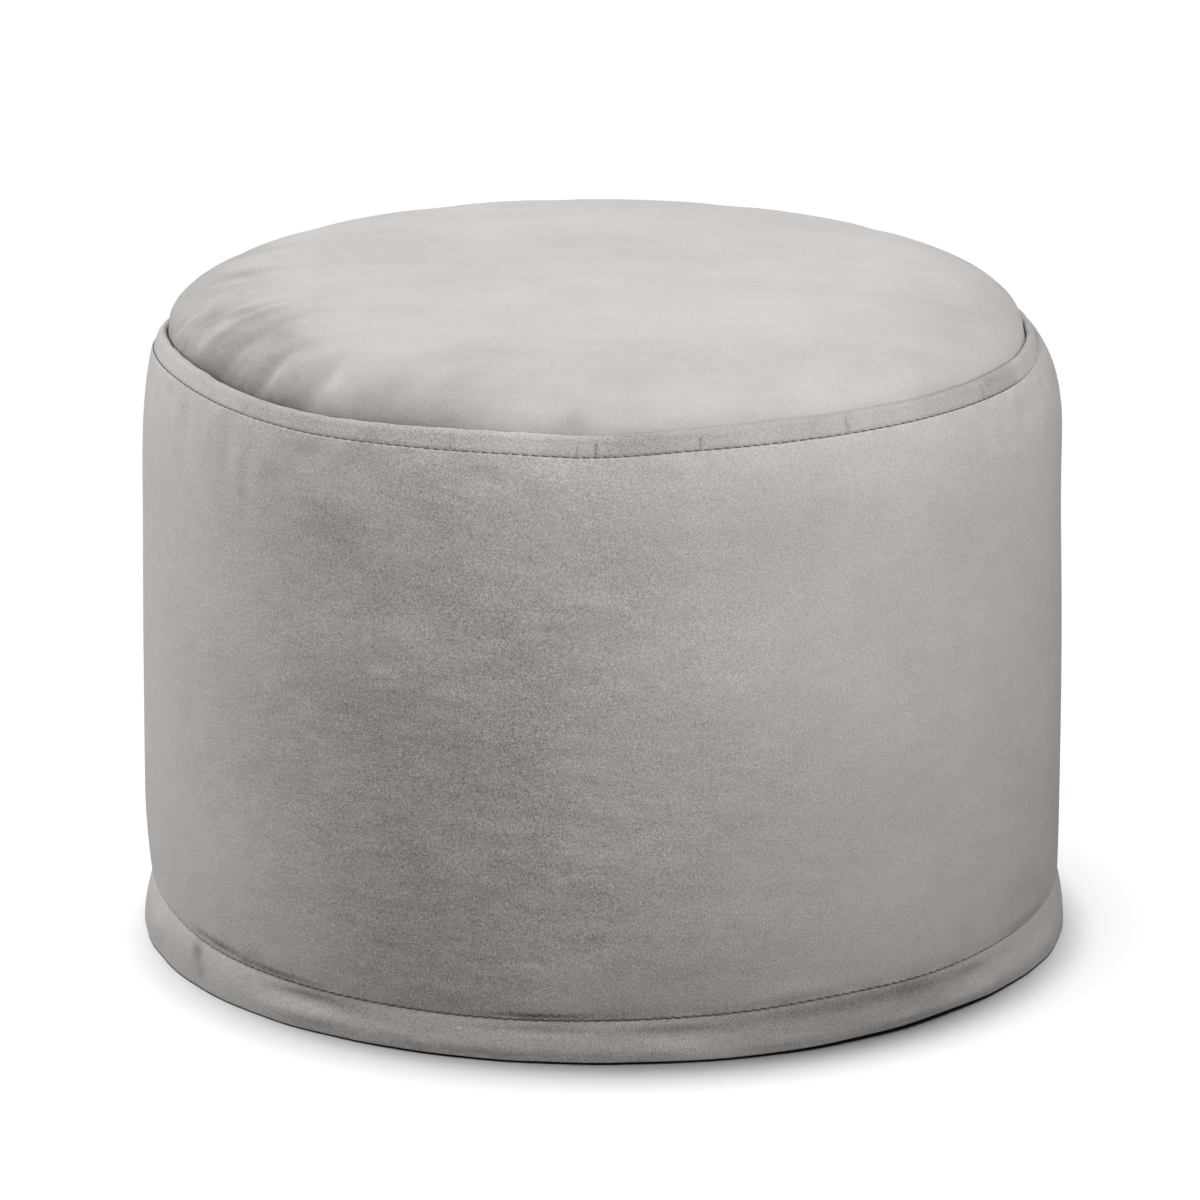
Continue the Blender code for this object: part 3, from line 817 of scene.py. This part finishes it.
# %% Stitches
TOP_THREAD = 0.00048  # radius, widened so that the dark thread also paints the shade of the furrow it presses into the pile
BOTTOM_THREAD = 0.00024
STITCH_SHARE = 0.76  # how much of its pitch a stitch spans
STITCH_SLANT = 0.00022  # each stitch's left end lies this much above its middle
STITCH_ARCH = 0.00045
STITCH_SUNK = 0.00040  # how far its ends lie under the cloth
STITCH_OFF = 0.00040  # from the seam towards the flange's own cloth
THINNEST = 0.12  # of its section, at its ends
THREAD_RINGS = 7
THREAD_SIDES = 6


def stitch_line(name, rim, off, thickness):
    """Tubes along a rim's seam, and off it by so much. Along each one, s runs from -1 to 1: the
    bearing grows with s, the radius arches as 1 - s to the fourth, the height slants down, and the
    section thins towards its ends as 1 - s to the sixth."""
    middle = (np.arange(STITCHES) + 0.5) * 360 / STITCHES - 180
    s = np.linspace(-1, 1, THREAD_RINGS)
    bearing = middle[:, None] + s * STITCH_SHARE * 180 / STITCHES
    radius = column(rim, "seam_r", bearing) + STITCH_ARCH * (1 - s**4) - STITCH_SUNK
    height = column(rim, "seam_z", bearing) + off - STITCH_SLANT * s
    thin = np.sqrt(np.clip(1 - s**6, THINNEST, 1))[:, None]
    thick = thickness * tightness(bearing)[..., None] * thin
    spin = np.arange(THREAD_SIDES) * 2 * np.pi / THREAD_SIDES
    radius = radius[..., None] + thick * np.cos(spin)
    height = height[..., None] + thick * np.sin(spin)
    points = to_points(radius, height, bearing[..., None])
    index = np.arange(points.size // 3).reshape(points.shape[:3])
    beside = np.roll(index, -1, axis=2)
    quads = np.stack([index[:, :-1], beside[:, :-1], beside[:, 1:], index[:, 1:]], axis=-1)
    ends = np.concatenate([index[:, 0, ::-1], index[:, -1]])
    mesh = bpy.data.meshes.new(name)
    mesh.from_pydata(points.reshape(-1, 3).tolist(), [], quads.reshape(-1, 4).tolist() + ends.tolist())
    mesh.shade_smooth()
    print(f"{name}: {STITCHES} stitches of {2 * np.pi * WALL_RADIUS / STITCHES / MM:.1f} mm")
    return placed(name, mesh)


top_stitches = stitch_line("top_stitches", TOP_RIM, STITCH_OFF, TOP_THREAD)
bottom_stitches = stitch_line("bottom_stitches", LOWER_RIM, -STITCH_OFF, BOTTOM_THREAD)

# %% [markdown]
# ## Velvet
#
# Velvet is a short dense pile. Its tufts lean, so brushed areas look a little lighter or darker than
# their surroundings, with no edge between them. Here such areas are soft patches painted into the colour
# as painted shade and painted light, and they also stand in for how the light falls on the drum. Painted
# shade darkens the tucks, grooves, folds and seams as well. Close up the pile shows a fine pebbled
# grain, and at a grazing angle its tips catch the light. The painted patches and the grain are colour
# and bump that change over the surface, so they are worked out in node groups that all the velvets
# share; the light on the tips is the sheen of the shader itself. All patterns read the piece's own
# coordinates, so that they stay on the cloth.

# %% Node helpers
def new_group(name, inputs, outputs):
    """An empty shader group with named sockets: inputs as (name, kind, value), outputs as
    (name, kind)."""
    group = bpy.data.node_groups.new(name, "ShaderNodeTree")
    for label, kind, value in inputs:
        socket = group.interface.new_socket(label, in_out="INPUT", socket_type="NodeSocket" + kind)
        socket.default_value = value
    for label, kind in outputs:
        group.interface.new_socket(label, in_out="OUTPUT", socket_type="NodeSocket" + kind)
    return group


def add(tree, kind, inputs=None, **settings):
    """A node with its settings. An input is a value, or another node's output to link from."""
    node = tree.nodes.new("ShaderNode" + kind)
    for key, value in settings.items():
        setattr(node, key, value)
    for key, value in (inputs or {}).items():
        if isinstance(value, bpy.types.NodeSocket):
            tree.links.new(value, node.inputs[key])
        else:
            node.inputs[key].default_value = value
    return node


def maths(tree, operation, *inputs):
    """One sum, whose result is returned as a socket."""
    return add(tree, "Math", dict(enumerate(inputs)), operation=operation).outputs[0]


def noise(tree, place, scale, detail, roughness=0.5, distortion=0.0):
    """A noise from 0 to 1, whose features are about one over the scale across, in metres."""
    inputs = {"Vector": place, "Scale": scale, "Detail": detail, "Roughness": roughness}
    return add(tree, "TexNoise", {**inputs, "Distortion": distortion}).outputs[0]


def blended(tree, share, a, b):
    """Colour a blending into colour b as the share goes from 0 to 1."""
    node = add(tree, "Mix", {0: share}, data_type="RGBA")
    for slot, value in ((6, a), (7, b)):
        if isinstance(value, bpy.types.NodeSocket):
            tree.links.new(value, node.inputs[slot])
        else:
            node.inputs[slot].default_value = value
    return node.outputs[2]


# %% Patches: painted shade and painted light, and where the pile stands in tufts
RAGGED = 1.1  # how far the noise shifts a patch's border, beside its radius
BORDER_NOISE = (22.0, 3.0, 0.6)


def make_shade_and_tuft_patch():
    """A mask that is 1 at a centre and fades to 0 at an ellipsoid round it, with a ragged border."""
    group = new_group(
        "shade_and_tuft_patch",
        [("Centre", "Vector", (0, 0, 0)), ("Radius", "Vector", (1, 1, 1)), ("Ragged", "Float", RAGGED)],
        [("Mask", "Float")],
    )
    entry = group.nodes.new("NodeGroupInput").outputs
    place = add(group, "TexCoord").outputs["Object"]
    offset = add(group, "VectorMath", {0: place, 1: entry["Centre"]}, operation="SUBTRACT")
    scaled = add(group, "VectorMath", {0: offset.outputs[0], 1: entry["Radius"]}, operation="DIVIDE")
    away = add(group, "VectorMath", {0: scaled.outputs[0]}, operation="LENGTH").outputs["Value"]
    shift = maths(group, "SUBTRACT", noise(group, place, *BORDER_NOISE), 0.5)
    away = maths(group, "MULTIPLY_ADD", shift, entry["Ragged"], away)
    mask = add(group, "MapRange", {"Value": away, "From Min": 1.0, "From Max": 0.0})
    mask.interpolation_type = "SMOOTHERSTEP"
    leave = group.nodes.new("NodeGroupOutput")
    group.links.new(mask.outputs[0], leave.inputs["Mask"])
    return group


shade_and_tuft_patch = make_shade_and_tuft_patch()


def patch_mask(tree, centre, radius, ragged=RAGGED):
    """The mask of one patch, as a socket."""
    inputs = {"Centre": centre, "Radius": radius, "Ragged": ragged}
    return add(tree, "Group", inputs, node_tree=shade_and_tuft_patch).outputs[0]


# %% Pile
PILE_INPUTS = [
    ("Colour", "Color", (1, 1, 1, 1)),
    ("Shade", "Float", 0.0),  # painted shade, from the patches and the creases: 1 is a full step darker
    ("Clouds", "Float", 0.0),  # how much the large soft patches change the brightness
    ("Streaks", "Float", 0.0),  # the same for level streaks
    ("Grain", "Float", 0.0),  # the same for the pebbled grain
]
# The noises: scale, detail, roughness and distortion.
CLOUD_NOISE = (16.0, 4.0, 0.62)
STREAK_NOISE = (24.0, 3.0)
GRAIN_NOISE = (1150.0, 2.0, 0.65, 0.7)
TIP_NOISE = (2600.0, 1.0)
CRUMPLE_NOISE = (58.0, 2.0, 0.40)
LEVEL = (1.0, 3.0, 5.0)  # squashed like this, noise makes level streaks
FLAT = (1.0, 1.0, 1.9)  # and like this, creases wider than they are tall
CONTRAST = 4.0
TIPS = 0.90  # height of the tips, beside the grain


def make_pile():
    """Colour and height of velvet pile: the colour times one plus clouds, streaks and grain, less
    the painted shade. Crumples are the height of the soft creases, a centimetre or two across."""
    outputs = [("Colour", "Color"), ("Height", "Float"), ("Crumples", "Float")]
    group = new_group("velvet_pile", PILE_INPUTS, outputs)
    entry = group.nodes.new("NodeGroupInput").outputs
    place = add(group, "TexCoord").outputs["Object"]
    levelled = add(group, "Mapping", {"Vector": place, "Scale": LEVEL}).outputs[0]
    squashed = add(group, "Mapping", {"Vector": place, "Scale": FLAT}).outputs[0]
    clouds = noise(group, place, *CLOUD_NOISE)
    streaks = noise(group, levelled, *STREAK_NOISE)
    grain = noise(group, place, *GRAIN_NOISE)
    tips = noise(group, place, *TIP_NOISE)
    crumples = noise(group, squashed, *CRUMPLE_NOISE)
    total = 0.0
    for pattern, amount in ((clouds, "Clouds"), (streaks, "Streaks"), (grain, "Grain")):
        centred = maths(group, "SUBTRACT", pattern, 0.5)
        total = maths(group, "MULTIPLY_ADD", centred, entry[amount], total)
    bright = maths(group, "MULTIPLY_ADD", total, CONTRAST, 1.0)
    bright = maths(group, "SUBTRACT", bright, entry["Shade"])
    scaled = add(group, "VectorMath", {0: entry["Colour"], 3: bright}, operation="SCALE").outputs[0]
    height = maths(group, "MULTIPLY_ADD", tips, TIPS, grain)
    leave = group.nodes.new("NodeGroupOutput")
    group.links.new(scaled, leave.inputs["Colour"])
    group.links.new(height, leave.inputs["Height"])
    group.links.new(crumples, leave.inputs["Crumples"])
    return group


velvet_pile = make_pile()

# %% [markdown]
# ## One velvet for each piece
#
# All the pieces are cut from one cloth. Each has a table of patches painted into its colour: painted
# shade (a positive dark) and painted light (a negative one), partly for how its pile was brushed and
# partly for how the light falls on it.

# %% Velvet materials
VELVET = (0.520, 0.491, 0.472)
VELVET_SHADER = {
    "Roughness": 0.85,
    "Metallic": 0.0,
    "Specular IOR Level": 0.15,
    "Sheen Weight": 0.35,
    "Sheen Roughness": 0.40,
    "Sheen Tint": (1.0, 0.98, 0.96, 1.0),
}
# The patches of painted shade: middle, half sizes and how much darker each one is; a negative dark is
# painted light.
TOP_PAINTED_SHADES = table(
    "   x     y    z  wide  deep  tall   dark",
    (-175, -105, 300,   90,  100,   55,  0.40),
    ( -95, -175, 300,  100,   70,   45,  0.20),
    (-205,   30, 300,   90,  150,   60,  0.32),
    (  50,  120, 325,  260,  170,   60, -0.08),
    ( -16, -206, 302,   20,   14,   12,  0.20),
    (-130,  -85, 308,   50,   50,   30,  0.14),
    ( 125, -145, 302,   60,   50,   30,  0.09),
    (-171,   -1, 318,   50,   18,   20,  0.16),
    (-195,   -9, 303,   20,   20,   14,  0.16),
    (-167,  -30, 312,   30,   12,   20,  0.12),
    ( 190,  -60, 300,   90,  140,   60,  0.06),
)
# Painted shade and painted light on the side.
SIDE_PAINTED_SHADES = table(
    "   x     y    z  wide  deep  tall   dark",
    ( -80, -210, 120,  110,  120,  160,  0.10),
    (-120, -190, 250,   45,   80,   20,  0.15),
    ( -20, -220, 215,   60,   80,   30,  0.05),
    ( -92, -205, 206,   20,   40,    9, -0.12),
    (-103, -200, 186,   18,   40,    8, -0.16),
    ( -70, -210, 178,   22,   40,    7, -0.10),
    ( -80, -210, 140,   20,   40,    7, -0.10),
    (  -5, -225, 228,   26,   40,    8, -0.10),
    (  20, -224,  80,   90,   80,   32,  0.10),
    (  97, -200, 200,   80,   80,   90, -0.08),
    ( -97, -203, 252,   30,   40,   18, -0.11),
    ( 208,  -85,  34,   30,   60,   34,  0.14),
    ( -29, -224,  48,   32,   30,  4.5, -0.14),
    ( -66, -215,  54,   30,   30,  4.5, -0.10),
    (  40, -222,  45,   80,  100,   35,  0.12),
)
# Painted shade and painted light on the top flange.
TOP_BAND_PAINTED_SHADES = table(
    "   x     y    z  wide  deep  tall   dark",
    (   0, -120, 297,  500,  400,  200,  0.15),
    ( 150, -150, 297,  110,  110,  100,  0.09),
    (-150, -155, 297,   60,   60,   60,  0.08),
    ( 190, -105, 297,   20,   35,   20,  0.14),
    ( -45, -216, 297,   40,   30,   30, -0.13),
    (  28, -218, 297,   45,   30,   30,  0.10),
)
# Painted shade on the lower flange.
BOTTOM_BAND_PAINTED_SHADES = table(
    "  x     y   z  wide  deep  tall  dark",
    (110, -190, 12,  140,   90,   30, 0.16),
    (160, -160, 14,   50,   50,   12, 0.10),
)
# Where the pile stands up in tufts and its grain shows most: the side's front, left of the middle.
TUFTED_CENTRE = (-0.080, -0.230, 0.150)
TUFTED_RADIUS = (0.260, 0.220, 0.330)
TUFTED_RAGGED = 0.4
CLOUDS_OF_TUFTS = 0.16  # standing tufts also make the clouds stronger, by this share of the grain's
PAINTED_CREASE_SHADE = 0.22  # the painted shade in the deepest tuck
CREASE_HEIGHT = 0.002
CRUMPLES = 0.62  # how much of that height the soft creases have where the pile stands up
LEAST_CRUMPLES = 0.12  # and everywhere
PILE_HEIGHT = 0.0006


def new_material(name):
    """A material, its node tree and its shader."""
    material = bpy.data.materials.new(name)
    material.use_nodes = True
    return material, material.node_tree, material.node_tree.nodes["Principled BSDF"]


def velvet(name, painted_patches, clouds=0.05, streaks=0.035, grain=0.2, tufted=0.35, bump=0.55, dye=1.0):
    """A velvet material with its patches of painted shade and painted light, and the painted shade that
    the mesh keeps for its creases. grain is the strength of the grain everywhere, and tufted what is
    added to it where the pile stands up."""
    material, tree, shader = new_material(name)
    shade = 0.0
    # Each patch paints shade into the colour, or with a negative dark paints light.
    for x, y, z, wide, deep, tall, dark in zip(*painted_patches.values()):
        patch = patch_mask(tree, (x, y, z), (wide, deep, tall))
        shade = maths(tree, "MULTIPLY_ADD", patch, dark, shade)
    # The mesh's painted shade, from tucks, grooves, folds and seams, darkens the colour too.
    depth = add(tree, "Attribute", attribute_name="painted_shade").outputs["Fac"]
    shade = maths(tree, "MULTIPLY_ADD", depth, PAINTED_CREASE_SHADE, shade)
    standing = patch_mask(tree, TUFTED_CENTRE, TUFTED_RADIUS, TUFTED_RAGGED)
    inputs = {
        "Colour": tuple(channel * dye for channel in VELVET) + (1.0,),
        "Shade": shade,
        "Clouds": maths(tree, "MULTIPLY_ADD", standing, tufted * CLOUDS_OF_TUFTS, clouds),
        "Streaks": streaks,
        "Grain": maths(tree, "MULTIPLY_ADD", standing, tufted, grain),
    }
    pile = add(tree, "Group", inputs, node_tree=velvet_pile)
    crumpled = maths(tree, "MULTIPLY_ADD", standing, CRUMPLES, LEAST_CRUMPLES)
    folds = maths(tree, "MULTIPLY", pile.outputs["Crumples"], crumpled)
    creases = add(tree, "Bump", {"Strength": 1.0, "Distance": CREASE_HEIGHT, "Height": folds})
    fine = {"Height": pile.outputs["Height"], "Normal": creases.outputs[0]}
    relief = add(tree, "Bump", {"Strength": bump, "Distance": PILE_HEIGHT, **fine})
    tree.links.new(pile.outputs["Colour"], shader.inputs["Base Color"])
    tree.links.new(relief.outputs[0], shader.inputs["Normal"])
    for socket, value in VELVET_SHADER.items():
        shader.inputs[socket].default_value = value
    return material


top_velvet = velvet("top_velvet_pile", TOP_PAINTED_SHADES, 0.085, 0.045, 0.105, tufted=0.0, bump=0.35)
side_velvet = velvet("side_velvet_pile", SIDE_PAINTED_SHADES)
base_velvet = velvet("base_velvet_pile", {}, dye=0.95)
top_band_velvet = velvet("top_band_pile", TOP_BAND_PAINTED_SHADES, tufted=0.30)
bottom_band_velvet = velvet("bottom_band_pile", BOTTOM_BAND_PAINTED_SHADES)
print("patches:", len(TOP_PAINTED_SHADES["dark"]), "on the top,", len(SIDE_PAINTED_SHADES["dark"]), "on the side")

# %% Thread
# The top thread's colour is darkened by painted shade, for the furrow that it lies in.
TOP_THREAD_WITH_SHADE_COLOUR = (0.110, 0.100, 0.091, 1.0)
BOTTOM_THREAD_COLOUR = (0.300, 0.285, 0.275, 1.0)
TWIST_NOISE = (3500.0, 1.0)
TWIST_DARK = 0.7  # painted shade between the strands: the colour there, beside the thread's own
TWIST_HEIGHT = 0.0001
TWIST_BUMP = 0.4
THREAD_ROUGHNESS = 0.55


def thread(name, colour):
    """Polyester thread: a fine twist of two strands, a little glossier than the pile."""
    material, tree, shader = new_material(name)
    twist = noise(tree, add(tree, "TexCoord").outputs["Object"], *TWIST_NOISE)
    dark = tuple(TWIST_DARK * channel for channel in colour[:3]) + (1.0,)
    tree.links.new(blended(tree, twist, dark, colour), shader.inputs["Base Color"])
    relief = add(tree, "Bump", {"Strength": TWIST_BUMP, "Distance": TWIST_HEIGHT, "Height": twist})
    tree.links.new(relief.outputs[0], shader.inputs["Normal"])
    shader.inputs["Roughness"].default_value = THREAD_ROUGHNESS
    return material


top_thread = thread("thread_with_painted_shade", TOP_THREAD_WITH_SHADE_COLOUR)
bottom_thread = thread("grey_thread", BOTTOM_THREAD_COLOUR)

# %% [markdown]
# ## Dressing the frame
#
# Each surface takes over from the solid of the same place, rides on the one body that the footstool
# has, and gets its own velvet or thread.


def dress(piece, node, material):
    """Gives a piece its finish and puts it in place of its solid."""
    piece.data.materials.append(material)
    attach(piece, "root")
    if node:
        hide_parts(node)


dress(top, "top_panel", top_velvet)
dress(side, "side_panel", side_velvet)
dress(base, "base_panel", base_velvet)
dress(top_flange, "top_flange", top_band_velvet)
dress(bottom_flange, "bottom_flange", bottom_band_velvet)
dress(top_stitches, None, top_thread)
dress(bottom_stitches, None, bottom_thread)

# %% [markdown]
# ## Floor and light
#
# The floor and what stands behind it are plain white. Softboxes stand all round the drum and leave the
# floor out. The strongest one is high up behind it on the left and makes the top pale, and the nearest
# ones, in front and on the right, let the side darken towards its foot and its left half. The floor has
# four lights of its own, almost overhead, which give the short soft shadow round the foot. It returns
# little light to the velvet, as when black cards stand beside a small set.

# %% Floor
FLOOR_HALF = 8.0
FLOOR_BELOW = 0.0003  # the drum stands this little above it, so that the two don't share a plane
FLOOR_SHOWN = (0.78, 0.78, 0.78, 1.0)
FLOOR_RETURNED = (0.018, 0.018, 0.018, 1.0)


def make_floor():
    """A flat square under the object, paler to the camera than to the light it bounces."""
    mesh = bpy.data.meshes.new("floor")
    corners = [(x * FLOOR_HALF, y * FLOOR_HALF, 0) for x, y in ((-1, -1), (1, -1), (1, 1), (-1, 1))]
    mesh.from_pydata(corners, [], [(0, 1, 2, 3)])
    material, tree, shader = new_material("floor_white")
    tree.nodes.remove(shader)
    seen = add(tree, "LightPath").outputs["Is Camera Ray"]
    matt = add(tree, "BsdfDiffuse", {"Color": blended(tree, seen, FLOOR_RETURNED, FLOOR_SHOWN)})
    tree.links.new(matt.outputs[0], tree.nodes["Material Output"].inputs["Surface"])
    mesh.materials.append(material)
    floor = placed("floor", mesh)
    floor.location.z = -FLOOR_BELOW
    return floor


floor = make_floor()
floor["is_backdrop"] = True

# %% Lights
# Where each softbox stands, its size in metres and its power in watts.
SOFTBOXES = {
    "front": ((0.00, -0.82, 0.58), 0.6, 3.55),
    "right": ((0.71, -0.41, 0.58), 0.6, 3.9),
    "above": ((0.00, -0.08, 1.10), 0.6, 3.0),
    "left": ((-1.38, 0.00, 0.44), 0.9, 6.9),
    "far_right": ((1.38, 0.10, 0.36), 0.90, 1.3),
    "back_left": ((-1.73, 1.00, 1.13), 1.2, 39.0),
    "back_right": ((1.00, 1.73, 0.40), 1.2, 5.5),
}
SET_MIDDLE = (0.0, 0.0, 0.2)
# The floor's own lights: the direction each comes from, its spread in degrees and its strength.
FLOOR_LIGHTS = {
    "broad": ((0.000, 0.105, 1.0), 10.0, 2.02),
    "narrow": ((-0.034, 0.040, 1.0), 6.0, 0.98),
    "from_the_left": ((-0.150, 0.040, 1.0), 14.0, 0.80),
    "from_the_right": ((0.137, -0.060, 1.0), 14.0, 0.27),
}
SUN_PLACE = (0.0, 0.0, 3.0)  # it doesn't matter: a sun has only a direction
WORLD_LIGHT = (0.03, 0.03, 0.03, 1.0)
WORLD_SHOWN = (1.0, 1.0, 1.0, 1.0)


def turned_to(aim):
    """The rotation of a lamp that shines along a direction."""
    level = np.hypot(aim[0], aim[1])
    return (np.arctan2(level, -aim[2]), 0.0, np.arctan2(-aim[0], aim[1]))


def lit_only(name, state):
    """A group of what a lamp lights, made from the floor: "INCLUDE" is the floor alone, and
    "EXCLUDE" all but the floor."""
    group = bpy.data.collections.new(name)
    group.objects.link(floor)
    group.collection_objects[0].light_linking.link_state = state
    return group


def make_light(name, kind, place, aim, power, lights):
    """A lamp of a kind at a place, shining along aim."""
    data = bpy.data.lights.new(name, kind)
    data.energy = power
    light = placed(name, data)
    light.location = place
    light.rotation_euler = turned_to(aim)
    light.light_linking.receiver_collection = lights
    return data


lights_drum = lit_only("all_but_floor", "EXCLUDE")
lights_floor = lit_only("floor_alone", "INCLUDE")
for name, (place, size, power) in SOFTBOXES.items():
    aim = np.array(SET_MIDDLE) - np.array(place)
    make_light(name, "AREA", place, aim, power, lights_drum).size = size
for name, (place, spread, strength) in FLOOR_LIGHTS.items():
    sun = make_light(name, "SUN", SUN_PLACE, -np.array(place), strength, lights_floor)
    sun.angle = np.radians(spread)

world = bpy.data.worlds.new("studio")
world.use_nodes = True
seen = add(world.node_tree, "LightPath").outputs["Is Camera Ray"]
backdrop = world.node_tree.nodes["Background"].inputs["Color"]
world.node_tree.links.new(blended(world.node_tree, seen, WORLD_LIGHT, WORLD_SHOWN), backdrop)
bpy.context.scene.world = world
bpy.context.scene.view_settings.view_transform = "Standard"
print("lights:", ", ".join([*SOFTBOXES, *FLOOR_LIGHTS]))

# %% Finish
new_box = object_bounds()
size = {
    "cad": [[float(value) for value in corner] for corner in cad_box],
    "visual": [[float(value) for value in corner] for corner in new_box],
}
print("box of the dressed part:", size["visual"])
